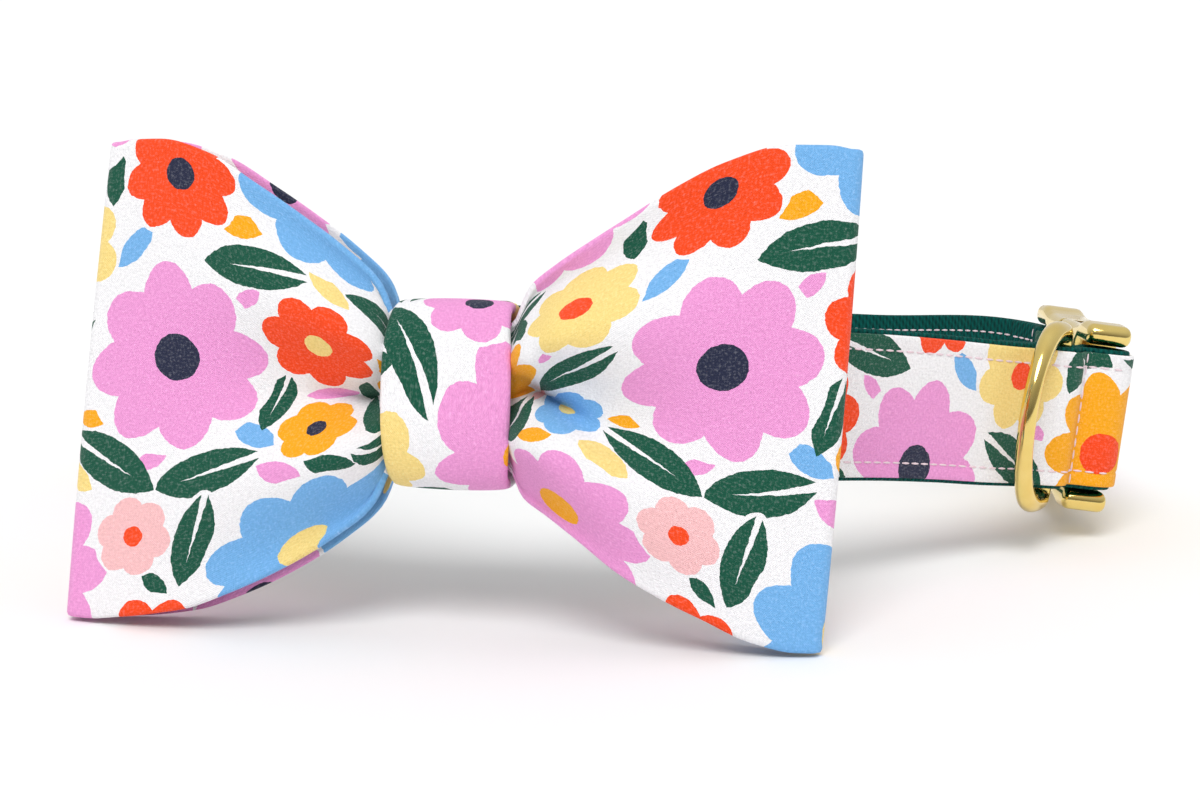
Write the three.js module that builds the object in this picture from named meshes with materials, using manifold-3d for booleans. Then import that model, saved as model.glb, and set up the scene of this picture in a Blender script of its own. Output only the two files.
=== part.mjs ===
// A pet collar with a gathered bow tie, a side-release buckle and a leash ring, standing on a floor.
// Lengths are millimetres and angles are degrees. X runs to the right of the bow as seen from the front,
// Y runs from the bow to the back of the loop, and Z runs up from the floor.

import * as THREE from 'three';
import { mergeVertices } from 'three/addons/utils/BufferGeometryUtils.js';
import Module from 'manifold-3d';

// How the bow stands: it leans back, with its knot's middle at a height above the floor.
const LEAN_BACK = 7.8;
const KNOT_HEIGHT = 37.4;

// Strap: webbing with a printed strip on its outer face.
const WEBBING_WIDTH = 25.4;
const WEBBING_WALL = 1.5;
const STRIP_WIDTH = 24;
const STRIP_WALL = 0.7;
const SEWN_GAP = 0.3;

// Runs of the strap's middle line in plan, from the socket bar round to the plug bar. A run with no turn is
// straight and has a length, and the others bend round a radius.
const STRAP_RUNS = [
  { run: 'side', length: 58, turn: 0, radius: 0 },
  { run: 'front', length: 0, turn: 46.5, radius: 82 },
  { run: 'left', length: 0, turn: 180, radius: 84 },
  { run: 'back', length: 0, turn: 64.8, radius: 101.8 },
];
const STRAP_STEP = 7.5;

// How the strap lies at distances from the socket bar: height of its middle line above the floor, and how far
// its top edge leans outward.
const STRAP_LIE = [
  { place: 'past the socket bar', at: -20, height: 19.4, lean: 1.3 },
  { place: 'socket bar', at: 0, height: 22.2, lean: 1.3 },
  { place: 'leash ring', at: 20, height: 25, lean: 1.3 },
  { place: 'end of side', at: 58, height: 30.8, lean: -1 },
  { place: 'front', at: 91, height: 34.3, lean: -5.5 },
  { place: 'behind knot', at: 124.5, height: 35.76, lean: -7.8 },
  { place: 'left front', at: 190.5, height: 32.4, lean: -5.5 },
  { place: 'left', at: 256.5, height: 24.3, lean: 0 },
  { place: 'left back', at: 322.5, height: 16.2, lean: 5.5 },
  { place: 'back', at: 388.4, height: 12.75, lean: 7.8 },
  { place: 'far side', at: 445, height: 15, lean: 8.2 },
  { place: 'plug end', at: 483, height: 18.7, lean: 8 },
  { place: 'plug bar', at: 503.5, height: 19.3, lean: 8 },
  { place: 'past the plug bar', at: 523.5, height: 19.9, lean: 8 },
];

// Where the two layers of a strap end lie: half the spacing of their middle lines at distances from the bar.
// The tail stops at the row named hem.
const SOCKET_END = [
  { place: 'bar', at: 0, half: 3.9 },
  { place: 'first seam', at: 6.2, half: 0.95 },
  { place: 'ring pocket', at: 11, half: 3.05 },
  { place: 'second seam', at: 21, half: 0.95 },
  { place: 'hem', at: 27, half: 0.95 },
  { place: 'single layer', at: 39, half: 0 },
];
const PLUG_END = [
  { place: 'bar', at: 0, half: 3.9 },
  { place: 'first seam', at: 7, half: 0.95 },
  { place: 'hem', at: 15, half: 0.95 },
  { place: 'single layer', at: 27, half: 0 },
];
const END_STEP = 2;
const SLOPE_STEP = 1;
const FOLD_STEPS = 6;

// Bow: one band of doubled cloth folded flat into a loop, with open top and foot edges.
const BOW_WALL = 1.8;
const BOW_AHEAD = 12.1;
const LEFT_SHEAR = 3.4;
const RIGHT_SHEAR = 2.2;
const SHEAR_REACH = 60;
const SHEAR_HEIGHT = 38;
const FRONT_PARTS = 2;
const BACK_PARTS = 1;
const SIDE_FOLD_COLUMNS = 3;
const BAND_ROWS = 14;
const BACK_PLEAT_SHARE = 0.45;
const PANEL_CURL = 0.2;

// Sections of the wings from the knot's middle to the side fold. Columns: reach from the knot's middle,
// height of the top edge and drop of the foot edge, lift of the front panel's foot above the back panel's,
// swell of a panel off the bow's middle plane, depth of the pleat and height of the pleat's valley.
const LEFT_WING = [
  { reach: 0, top: 10.9, foot: 10.9, lift: 0, swell: 3.6, pleat: 1.9, valley: 0 },
  { reach: 9.8, top: 11.0, foot: 11.0, lift: 0, swell: 3.7, pleat: 1.9, valley: 0 },
  { reach: 11.2, top: 16.2, foot: 16.8, lift: 0.2, swell: 4.8, pleat: 3.2, valley: 0 },
  { reach: 17, top: 21.7, foot: 22.8, lift: 0.6, swell: 6.0, pleat: 3.9, valley: 0.2 },
  { reach: 25, top: 27.2, foot: 28.6, lift: 0.9, swell: 6.4, pleat: 2.9, valley: 0.6 },
  { reach: 33, top: 32.0, foot: 33.0, lift: 1.1, swell: 6.2, pleat: 1.7, valley: 1.0 },
  { reach: 41, top: 36.3, foot: 36.1, lift: 1.1, swell: 5.3, pleat: 0.8, valley: 1.2 },
  { reach: 50, top: 38.5, foot: 37.2, lift: 0.6, swell: 3.7, pleat: 0.3, valley: 1.2 },
  { reach: 55.7, top: 38.4, foot: 37.3, lift: 0, swell: 2.1, pleat: 0, valley: 1.2 },
  { reach: 57.6, top: 38.0, foot: 37.2, lift: 0, swell: 1.7, pleat: 0, valley: 1.2 },
];
const RIGHT_WING = [
  { reach: 0, top: 10.9, foot: 10.9, lift: 0, swell: 3.6, pleat: 1.9, valley: 0 },
  { reach: 9.8, top: 11.0, foot: 11.0, lift: 0, swell: 3.7, pleat: 1.9, valley: 0 },
  { reach: 11.2, top: 15.8, foot: 14.8, lift: 0.2, swell: 4.8, pleat: 3.2, valley: -0.3 },
  { reach: 15.5, top: 19.8, foot: 18.0, lift: 0.5, swell: 5.9, pleat: 4.1, valley: -1.0 },
  { reach: 21, top: 23.8, foot: 22.2, lift: 0.8, swell: 6.5, pleat: 3.8, valley: -2.2 },
  { reach: 27, top: 28.0, foot: 26.8, lift: 1.0, swell: 6.6, pleat: 2.7, valley: -3.8 },
  { reach: 33, top: 32.1, foot: 30.2, lift: 1.1, swell: 6.2, pleat: 1.7, valley: -5.0 },
  { reach: 40, top: 36.0, foot: 33.4, lift: 1.1, swell: 5.3, pleat: 0.8, valley: -6.0 },
  { reach: 48.5, top: 38.7, foot: 36.5, lift: 0.6, swell: 3.8, pleat: 0.3, valley: -6.0 },
  { reach: 55.3, top: 38.8, foot: 37.3, lift: 0, swell: 2.2, pleat: 0, valley: -6.0 },
  { reach: 57.3, top: 38.3, foot: 37.3, lift: 0, swell: 1.7, pleat: 0, valley: -6.0 },
];

// Knot: a barrel-shaped band round the middle of the bow. Rows run across the band.
const KNOT_WALL = 1.8;
const KNOT_HALF_HEIGHT = 13.6;
const KNOT_HALF_DEPTH = 7.4;
const KNOT_SQUARENESS = 3;
const KNOT_SIDES = 36;
const KNOT_BARREL = [
  { across: -9.3, scale: 0.985 },
  { across: -8, scale: 1 },
  { across: -4.2, scale: 1.012 },
  { across: 0, scale: 1.018 },
  { across: 4.2, scale: 1.012 },
  { across: 8, scale: 1 },
  { across: 9.3, scale: 0.985 },
];

// Elastic loop at the back of the bow, which holds it on the strap. Rows run across it.
const ELASTIC_WALL = 1.2;
const ELASTIC_HALF_HEIGHT = 13.9;
const ELASTIC_HALF_DEPTH = 2.45;
const ELASTIC_FORWARD = 0.35;
const ELASTIC_SQUARENESS = 10;
const ELASTIC_SIDES = 40;
const ELASTIC_EDGES = [
  { across: -6, scale: 1 },
  { across: 6, scale: 1 },
];

// Leash ring: a cast wire ring whose straight bar lies in the strap's pocket.
const RING_WIRE = 3.5;
const RING_REACH = 17;
const RING_HALF_HEIGHT = 15;
const RING_ARM = 6;
const RING_CORNER = 1.8;
const RING_BAR_STEP = 3;
const RING_BOW_STEPS = 12;
const RING_STEPS = 64;
const RING_SIDES = 10;
const RING_SWING = 62;

// Buckle: two cast halves that meet at the mouth. Lengths run from the socket bar towards the plug bar.
const BUCKLE_THICKNESS = 8;
const BUCKLE_BEVEL = 2;
const BUCKLE_BEVEL_STEPS = 3;
const BUCKLE_SIDE_STEPS = 16;
const BUCKLE_BAR_RADIUS = 2;
const BUCKLE_BAR_SIDES = 16;
const BUCKLE_BAR_HALF = 15;
const BUCKLE_SLOT_HALF = 13.2;
const BUCKLE_SLOT_DEEP = 6.6;
const SOCKET_MOUTH = 22.5;
const MOUTH_GAP = 0.5;
const LATCH_ROOM = { from: 9.4, half: 11.2, thick: 4.4 };
const LATCH_WINDOW = { from: 11.6, to: 18.8 };
const LATCH_ARM_THICK = 3.4;
const GUIDE = { from: 12, half: 1.6 };
const CUT_PAST = 20;

// Half widths of a buckle half at distances from its own bar, from the strap end to the waist.
const BUCKLE_OUTLINE = [
  { from_bar: -3.6, half: 14.4 },
  { from_bar: -2.8, half: 16.0 },
  { from_bar: -0.8, half: 17.1 },
  { from_bar: 2.4, half: 17.2 },
  { from_bar: 6.6, half: 16.5 },
  { from_bar: 10, half: 16.1 },
  { from_bar: 15, half: 16.0 },
];

// One spring arm of the plug: distances from the socket bar and from the buckle's middle line.
const LATCH_ARM = [
  { along: 10.6, out: 8.0 },
  { along: 24.5, out: 5.2 },
  { along: 24.5, out: 8.4 },
  { along: 19.4, out: 10.4 },
  { along: 18.2, out: 10.9 },
  { along: 17.8, out: 14.2 },
  { along: 13.4, out: 14.2 },
  { along: 12.2, out: 11.0 },
  { along: 10.6, out: 10.0 },
];

const cloth = (color) => new THREE.MeshStandardMaterial({ color, roughness: 0.9, metalness: 0 });
const printedCotton = cloth(0xe9e2e0);
const greenNylon = cloth(0x1f5b4a);
const darkElastic = cloth(0x2b2b2d);
const polishedGold = new THREE.MeshStandardMaterial({ color: 0xd9b25f, roughness: 0.22, metalness: 1 });

const radians = THREE.MathUtils.degToRad;
const lerp = THREE.MathUtils.lerp;
const clamp = THREE.MathUtils.clamp;
const turned = (angle) => new THREE.Vector3(Math.cos(angle), Math.sin(angle), 0);

// Value of a table's column at a place along its key column: a smooth curve that never overshoots the rows.
function fromTable(rows, key, column, place) {
  const last = rows.length - 1;
  const at = clamp(place, rows[0][key], rows[last][key]);
  const next = Math.max(1, rows.findIndex((row) => row[key] >= at));
  const [before, after] = [rows[next - 1], rows[next]];
  const slope = (i) => {
    if (i < 1 || i > last) return 0;
    return (rows[i][column] - rows[i - 1][column]) / (rows[i][key] - rows[i - 1][key]);
  };
  const tangent = (i) => {
    const [left, right] = [slope(i), slope(i + 1)];
    return left * right > 0 ? (2 * left * right) / (left + right) : 0;
  };
  const gap = after[key] - before[key];
  const share = (at - before[key]) / gap;
  const ease = share * share * (3 - 2 * share);
  const leave = share * (1 - share) * (1 - share) * gap * tangent(next - 1);
  const arrive = share * share * (share - 1) * gap * tangent(next);
  return lerp(before[column], after[column], ease) + leave + arrive;
}

// A closed wall between two offsets of a grid of points, measured along the sheet's own normal. Lines of the
// grid run across the sheet. A looped sheet joins its last line to its first.
function sheetWall(grid, near, far, looped) {
  const [count, width] = [grid.length, grid[0].length];
  const wrap = (i) => (looped ? (i + count) % count : clamp(i, 0, count - 1));
  const hold = (j) => clamp(j, 0, width - 1);
  const skin = (offset) =>
    grid.map((line, i) =>
      line.map((point, j) => {
        const along = grid[wrap(i + 1)][j].clone().sub(grid[wrap(i - 1)][j]);
        const across = line[hold(j + 1)].clone().sub(line[hold(j - 1)]);
        return along.cross(across).setLength(offset).add(point);
      }),
    );
  const corners = [...skin(near).flat(), ...skin(far).flat()];
  const nearCorner = (i, j) => wrap(i) * width + j;
  const farCorner = (i, j) => count * width + nearCorner(i, j);
  const faces = [];
  const quad = (a, b, c, d) => faces.push(a, b, c, a, c, d);
  const edge = width - 1;
  const steps = looped ? count : count - 1;
  for (let i = 0; i < steps; i += 1) {
    for (let j = 0; j < edge; j += 1) {
      quad(farCorner(i, j), farCorner(i + 1, j), farCorner(i + 1, j + 1), farCorner(i, j + 1));
      quad(nearCorner(i, j), nearCorner(i, j + 1), nearCorner(i + 1, j + 1), nearCorner(i + 1, j));
    }
    quad(nearCorner(i, 0), nearCorner(i + 1, 0), farCorner(i + 1, 0), farCorner(i, 0));
    quad(farCorner(i, edge), farCorner(i + 1, edge), nearCorner(i + 1, edge), nearCorner(i, edge));
  }
  for (let j = 0; !looped && j < edge; j += 1) {
    quad(nearCorner(0, j), farCorner(0, j), farCorner(0, j + 1), nearCorner(0, j + 1));
    quad(nearCorner(steps, j), nearCorner(steps, j + 1), farCorner(steps, j + 1), farCorner(steps, j));
  }
  const geometry = new THREE.BufferGeometry().setFromPoints(corners);
  geometry.setIndex(faces);
  geometry.computeVertexNormals();
  return geometry;
}

function named(name, geometry, material) {
  const mesh = new THREE.Mesh(geometry, material);
  mesh.name = name;
  return mesh;
}

// Point and heading at a distance along one run of the plan.
function onRun(run, distance) {
  const heading = run.heading - (run.radius ? distance / run.radius : 0);
  const point = run.point.clone();
  if (run.radius) {
    const centre = turned(run.heading - Math.PI / 2).multiplyScalar(run.radius).add(point);
    point.copy(turned(heading + Math.PI / 2).multiplyScalar(run.radius).add(centre));
  } else {
    point.addScaledVector(turned(heading), distance);
  }
  return { point, heading };
}

// Plan of the strap's middle line. Its front run ends behind the knot, over the origin.
function strapPlan() {
  const runs = STRAP_RUNS.map((row) => ({ ...row, length: row.length + radians(row.turn) * row.radius }));
  const frontTurn = radians(STRAP_RUNS.find((row) => row.run === 'front').turn);
  const pose = { point: new THREE.Vector3(), heading: Math.PI + frontTurn };
  const behindKnot = new THREE.Vector3();
  for (const run of runs) {
    run.point = pose.point.clone();
    run.heading = pose.heading;
    pose.point = onRun(run, run.length).point;
    pose.heading -= radians(run.turn);
    if (run.run === 'front') behindKnot.copy(pose.point);
  }
  for (const run of runs) run.point.sub(behindKnot);
  const length = runs.reduce((sum, run) => sum + run.length, 0);
  const at = (distance) => {
    let left = distance;
    for (const run of runs) {
      if (left <= run.length || run === runs.at(-1)) return onRun(run, left);
      left -= run.length;
    }
  };
  return { length, at };
}

// Middle point of the strap at a distance, with its directions along, across its width and outward.
function strapFrame(plan, distance) {
  const { point, heading } = plan.at(distance);
  const height = (at) => fromTable(STRAP_LIE, 'at', 'height', at);
  const lean = radians(fromTable(STRAP_LIE, 'at', 'lean', distance));
  const slope = (height(distance + SLOPE_STEP) - height(distance - SLOPE_STEP)) / (2 * SLOPE_STEP);
  const along = turned(heading).setZ(slope).normalize();
  const sideways = turned(heading + Math.PI / 2);
  const upright = along.clone().cross(sideways);
  const wide = upright.multiplyScalar(Math.cos(lean)).addScaledVector(sideways, Math.sin(lean));
  const outward = wide.clone().cross(along);
  return { point: point.setZ(height(distance)), along, wide, outward };
}

// Even steps from one distance to another, both ends included.
function steps(from, to, step) {
  const count = Math.ceil(Math.abs(to - from) / step);
  return Array.from({ length: count + 1 }, (_, i) => lerp(from, to, i / count));
}

// Route of the strap: tail, fold round the socket bar, main layer, fold round the plug bar, tail. Each stop
// has its middle point and its direction across the width. The tail at the plug is bare webbing.
function strapRoute(plan) {
  const half = (rows, at) => fromTable(rows, 'at', 'half', at);
  const hem = (rows) => rows.find((row) => row.place === 'hem').at;
  const single = (rows) => rows.at(-1).at;
  const layer = (distance, offset) => {
    const { point, wide, outward } = strapFrame(plan, distance);
    return { point: point.addScaledVector(outward, offset), wide };
  };
  const fold = (distance, away, radius) =>
    steps(0, Math.PI, Math.PI / FOLD_STEPS).slice(1, -1).map((angle) => {
      const { point, along, wide, outward } = strapFrame(plan, distance);
      point.addScaledVector(outward, radius * Math.cos(angle));
      return { point: point.addScaledVector(along, away * radius * Math.sin(angle)), wide };
    });
  const main = [
    ...steps(0, single(SOCKET_END), END_STEP),
    ...steps(single(SOCKET_END), plan.length - single(PLUG_END), STRAP_STEP).slice(1),
    ...steps(plan.length - single(PLUG_END), plan.length, END_STEP).slice(1),
  ];
  return [
    ...steps(hem(SOCKET_END), 0, END_STEP).map((at) => layer(at, -half(SOCKET_END, at))),
    ...fold(0, -1, SOCKET_END[0].half).reverse(),
    ...main.map((at) => layer(at, half(SOCKET_END, at) + half(PLUG_END, plan.length - at))),
    ...fold(plan.length, 1, PLUG_END[0].half),
    ...steps(0, hem(PLUG_END), END_STEP).map((at) => ({
      ...layer(plan.length - at, -half(PLUG_END, at)),
      bare: true,
    })),
  ];
}

// A band of a given width that follows the strap's route.
function strapGrid(route, width) {
  return route.map(({ point, wide }) => [
    point.clone().addScaledVector(wide, width / 2),
    point.clone().addScaledVector(wide, -width / 2),
  ]);
}

// One point of the bow's middle surface: face is -1 on the front panel and 1 on the back panel.
function panelPoint(wing, side, reach, face, level) {
  const read = (column) => fromTable(wing, 'reach', column, reach);
  const top = read('top');
  const foot = read('foot') - (face < 0 ? read('lift') : 0);
  const height = lerp(-foot, top, (level + 1) / 2);
  const pleatShare = face < 0 ? 1 : BACK_PLEAT_SHARE;
  const wave = -Math.cos(2 * Math.PI * (level - read('valley') / top)) * (1 - level ** 4);
  const depth = read('swell') * (1 - PANEL_CURL * level * level) + pleatShare * read('pleat') * wave;
  const shear = (side < 0 ? LEFT_SHEAR : RIGHT_SHEAR) * (height / SHEAR_HEIGHT) * (reach / SHEAR_REACH);
  return new THREE.Vector3(side * reach + shear, face * depth, height);
}

// The bow's band: front panel from left to right, right fold, back panel from right to left, left fold.
function bowGrid() {
  const levels = steps(-1, 1, 2 / BAND_ROWS);
  const between = (near, far, parts) => steps(near, far, (far - near) / parts).slice(1);
  const reaches = (wing, parts) =>
    wing.slice(1).flatMap((row, i) => between(wing[i].reach, row.reach, parts));
  const panel = (wing, side, face, parts) =>
    reaches(wing, parts).map((reach) => levels.map((level) => panelPoint(wing, side, reach, face, level)));
  const middle = (face) => levels.map((level) => panelPoint(LEFT_WING, 1, 0, face, level));
  const fold = (wing, side) =>
    steps(-Math.PI / 2, Math.PI / 2, Math.PI / (SIDE_FOLD_COLUMNS + 1)).slice(1, -1).map((angle) =>
      levels.map((level) => {
        const point = panelPoint(wing, side, wing.at(-1).reach, 1, level);
        const radius = point.y;
        return point.setX(point.x + side * radius * Math.cos(angle)).setY(radius * Math.sin(angle));
      }),
    );
  return [
    ...panel(LEFT_WING, -1, -1, FRONT_PARTS).reverse(),
    middle(-1),
    ...panel(RIGHT_WING, 1, -1, FRONT_PARTS),
    ...fold(RIGHT_WING, 1),
    ...panel(RIGHT_WING, 1, 1, BACK_PARTS).reverse(),
    middle(1),
    ...panel(LEFT_WING, -1, 1, BACK_PARTS),
    ...fold(LEFT_WING, -1).reverse(),
  ];
}

// A band looped round the X axis with a rounded box section, down the front and up the back.
function loopGrid(rows, halfDepth, halfHeight, squareness, sides) {
  const rounded = (value) => Math.sign(value) * Math.abs(value) ** (2 / squareness);
  return steps(0, 2 * Math.PI, (2 * Math.PI) / sides).slice(0, -1).map((angle) =>
    rows.map(({ across, scale }) => {
      const depth = -halfDepth * scale * rounded(Math.sin(angle));
      return new THREE.Vector3(across, depth, halfHeight * scale * rounded(Math.cos(angle)));
    }),
  );
}

// Middle line of the leash ring's wire: the bar on the Z axis and the bow out along X.
function ringCurve() {
  const barHalf = RING_HALF_HEIGHT - RING_CORNER;
  const bar = steps(barHalf, -barHalf, RING_BAR_STEP).map((height) => new THREE.Vector3(0, 0, height));
  const armStart = (height) => new THREE.Vector3(RING_CORNER, 0, height);
  const bow = steps(-Math.PI / 2, Math.PI / 2, Math.PI / RING_BOW_STEPS).map((angle) => {
    const out = RING_ARM + (RING_REACH - RING_ARM) * Math.cos(angle);
    return new THREE.Vector3(out, 0, RING_HALF_HEIGHT * Math.sin(angle));
  });
  const wire = [...bow, armStart(RING_HALF_HEIGHT), ...bar, armStart(-RING_HALF_HEIGHT)];
  return new THREE.CatmullRomCurve3(wire, true);
}

const wasm = await Module();
wasm.setup();

function solidFrom(geometry) {
  const bare = geometry.clone();
  bare.deleteAttribute('normal');
  bare.deleteAttribute('uv');
  const merged = mergeVertices(bare);
  const vertProperties = merged.attributes.position.array;
  const triVerts = new Uint32Array(merged.index.array);
  return new wasm.Manifold(new wasm.Mesh({ numProp: 3, vertProperties, triVerts }));
}

function geometryFrom(solid) {
  const { vertProperties, triVerts } = solid.getMesh();
  const geometry = new THREE.BufferGeometry();
  geometry.setAttribute('position', new THREE.BufferAttribute(vertProperties, 3));
  geometry.setIndex(new THREE.BufferAttribute(triVerts, 1));
  geometry.computeVertexNormals();
  return geometry;
}

// A flat cast piece with rounded edges, centred on its own thickness.
function plate(outline, thickness, bevel) {
  const geometry = new THREE.ExtrudeGeometry(new THREE.Shape(outline), {
    depth: thickness - 2 * bevel,
    bevelEnabled: bevel > 0,
    bevelThickness: bevel,
    bevelSize: bevel,
    bevelOffset: -bevel,
    bevelSegments: BUCKLE_BEVEL_STEPS,
  });
  geometry.translate(0, 0, bevel - thickness / 2);
  return solidFrom(geometry);
}

// A block between two distances along the buckle, two across it, and centred on its thickness.
function block(from, to, low, high, thick) {
  const geometry = new THREE.BoxGeometry(to - from, high - low, thick);
  geometry.translate((from + to) / 2, (low + high) / 2, 0);
  return solidFrom(geometry);
}

// Frame of one buckle half, with its bar across the strap slot. Its mouth is a given distance from the bar.
function buckleFrame(mouth) {
  const rows = BUCKLE_OUTLINE.map((row) => new THREE.Vector2(row.from_bar, row.half));
  const side = new THREE.SplineCurve(rows).getPoints(BUCKLE_SIDE_STEPS);
  side.push(new THREE.Vector2(mouth, rows.at(-1).y));
  const otherSide = side.map((point) => new THREE.Vector2(point.x, -point.y));
  const outline = [...otherSide, ...side.reverse()];
  const slot = block(-CUT_PAST, BUCKLE_SLOT_DEEP, -BUCKLE_SLOT_HALF, BUCKLE_SLOT_HALF, CUT_PAST);
  const bar = new THREE.CylinderGeometry(
    BUCKLE_BAR_RADIUS, BUCKLE_BAR_RADIUS, 2 * BUCKLE_BAR_HALF, BUCKLE_BAR_SIDES,
  );
  return plate(outline, BUCKLE_THICKNESS, BUCKLE_BEVEL).subtract(slot).add(solidFrom(bar));
}

function socketSolid() {
  const { from, half, thick } = LATCH_ROOM;
  const room = block(from, CUT_PAST + SOCKET_MOUTH, -half, half, thick);
  const windows = block(LATCH_WINDOW.from, LATCH_WINDOW.to, -CUT_PAST, CUT_PAST, thick);
  return buckleFrame(SOCKET_MOUTH).subtract(room).subtract(windows);
}

function plugSolid(barToBar) {
  const mouth = SOCKET_MOUTH + MOUTH_GAP;
  const arm = LATCH_ARM.map((row) => new THREE.Vector2(row.along, row.out));
  const otherArm = LATCH_ARM.map((row) => new THREE.Vector2(row.along, -row.out)).reverse();
  const guide = block(GUIDE.from, mouth + GUIDE.half, -GUIDE.half, GUIDE.half, LATCH_ARM_THICK);
  const frame = geometryFrom(buckleFrame(barToBar - mouth)).rotateZ(Math.PI).translate(barToBar, 0, 0);
  return solidFrom(frame)
    .add(plate(arm, LATCH_ARM_THICK, 0))
    .add(plate(otherArm, LATCH_ARM_THICK, 0))
    .add(guide);
}

const plan = strapPlan();
const route = strapRoute(plan);
const stripNear = WEBBING_WALL / 2 + SEWN_GAP;
const webbing = sheetWall(strapGrid(route, WEBBING_WIDTH), -WEBBING_WALL / 2, WEBBING_WALL / 2, false);
const covered = route.filter((stop) => !stop.bare);
const strip = sheetWall(strapGrid(covered, STRIP_WIDTH), stripNear, stripNear + STRIP_WALL, false);

// A group placed at a point and turned so that its X, Y and Z axes take three given directions.
function placed(point, x, y, z, ...pieces) {
  const group = new THREE.Group().add(...pieces);
  group.position.copy(point);
  group.setRotationFromMatrix(new THREE.Matrix4().makeBasis(x, y, z));
  return group;
}

// Leash ring, on its bar in the pocket, swung from square-out towards the bow.
const pocket = strapFrame(plan, SOCKET_END.find((row) => row.place === 'ring pocket').at);
const ringWire = new THREE.TubeGeometry(ringCurve(), RING_STEPS, RING_WIRE / 2, RING_SIDES, true);
const ring = named('d_ring', ringWire, polishedGold);
ring.rotation.z = radians(-RING_SWING);
const ringStation = placed(pocket.point, pocket.outward, pocket.along.clone().negate(), pocket.wide, ring);

// Buckle, closed, reaching from bar to bar with its width along the socket end's width.
const socketEnd = strapFrame(plan, 0);
const plugEnd = strapFrame(plan, plan.length);
const barToBar = socketEnd.point.distanceTo(plugEnd.point);
const reach = plugEnd.point.clone().sub(socketEnd.point);
const buckleOut = reach.cross(socketEnd.wide).normalize();
const buckleAlong = socketEnd.wide.clone().cross(buckleOut);
const buckle = placed(
  socketEnd.point, buckleAlong, socketEnd.wide, buckleOut,
  named('buckle_socket', geometryFrom(socketSolid()), polishedGold),
  named('buckle_plug', geometryFrom(plugSolid(barToBar)), polishedGold),
);

// Elastic, round the strap behind the knot, and the bow tie in front of it. They lean back together.
const elasticGrid = loopGrid(
  ELASTIC_EDGES, ELASTIC_HALF_DEPTH, ELASTIC_HALF_HEIGHT, ELASTIC_SQUARENESS, ELASTIC_SIDES,
);
const elasticBand = sheetWall(elasticGrid, -ELASTIC_WALL / 2, ELASTIC_WALL / 2, true);
const elastic = named('bow_elastic', elasticBand, darkElastic);
elastic.position.y = BOW_AHEAD - ELASTIC_FORWARD;
const knotGrid = loopGrid(KNOT_BARREL, KNOT_HALF_DEPTH, KNOT_HALF_HEIGHT, KNOT_SQUARENESS, KNOT_SIDES);
const bow = new THREE.Group().add(
  named('bow_band', sheetWall(bowGrid(), -BOW_WALL / 2, BOW_WALL / 2, true), printedCotton),
  named('bow_knot', sheetWall(knotGrid, -KNOT_WALL / 2, KNOT_WALL / 2, true), printedCotton),
  elastic,
);
bow.rotation.x = radians(-LEAN_BACK);
bow.position.set(0, -BOW_AHEAD * Math.cos(radians(LEAN_BACK)), KNOT_HEIGHT);

// The collar stands on the floor, with the origin under the middle of its box.
const stand = new THREE.Group().add(
  bow,
  named('strap_webbing', webbing, greenNylon),
  named('strap_fabric', strip, printedCotton),
  ringStation,
  buckle,
);
const collar = new THREE.Group().add(stand);
collar.updateMatrixWorld(true);
const box = new THREE.Box3().setFromObject(collar, true);
const middle = box.getCenter(new THREE.Vector3());
stand.position.set(-middle.x, -middle.y, -box.min.z);

export default collar;
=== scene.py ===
"""A pet collar with a gathered bow tie: printed cotton on green webbing, with polished gold hardware."""

import math

import bmesh
import bpy
from mathutils import Matrix, Vector


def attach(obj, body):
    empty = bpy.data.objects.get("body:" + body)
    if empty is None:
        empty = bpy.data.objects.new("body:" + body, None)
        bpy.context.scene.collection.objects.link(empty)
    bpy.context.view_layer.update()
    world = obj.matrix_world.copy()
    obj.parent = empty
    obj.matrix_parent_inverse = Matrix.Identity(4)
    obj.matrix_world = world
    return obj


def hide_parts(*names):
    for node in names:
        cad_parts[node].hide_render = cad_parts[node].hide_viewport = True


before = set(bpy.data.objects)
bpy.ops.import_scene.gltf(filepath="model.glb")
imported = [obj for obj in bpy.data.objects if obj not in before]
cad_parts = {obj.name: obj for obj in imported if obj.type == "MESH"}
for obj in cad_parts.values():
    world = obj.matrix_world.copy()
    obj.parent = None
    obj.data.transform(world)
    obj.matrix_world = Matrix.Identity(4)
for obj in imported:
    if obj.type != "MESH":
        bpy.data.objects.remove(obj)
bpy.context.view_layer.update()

# Webbing of the strap
# A length of dark green nylon webbing, woven with close ribs. Its two ends fold round the buckle's bars and
# are sewn back on themselves, so that it makes a whole loop, which stands on its edge and twists a little.
MM = 0.001
WEBBING_WIDTH = 25.4
WEBBING_WALL = 1.5
WEBBING_EDGE = 0.5
STITCH_ROW = 9.4
STITCH_GROOVE = 0.14
# The webbing's green is painted lighter on the weave's raised ribs and darker in its hollows: painted light
# and painted shade.
WEBBING_LIT_GREEN = (0, 96, 88)
WEBBING_PAINTED_SHADE = (0, 44, 42)
RIB_PITCH = 0.95
RIB_SHARE, CORD_SHARE = 0.55, 0.45
CORD_PITCH = 1.9
WEAVE_DEPTH = 0.28

# Where the strap's middle point behind the knot lies on the floor plan, and the floor's height.
KNOT_SPOT = Vector((-10.2604, -73.7649, -0.0084))

# Runs of the strap's middle line in plan, from the socket bar to the plug bar: straight length, turn, radius.
STRAP_RUNS = ((58, 0, 0), (0, 46.5, 82), (0, 180, 84), (0, 64.8, 101.8))
FRONT_TURN = math.radians(STRAP_RUNS[1][1])
FRONT_END = STRAP_RUNS[0][0] + FRONT_TURN * STRAP_RUNS[1][2]

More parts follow.
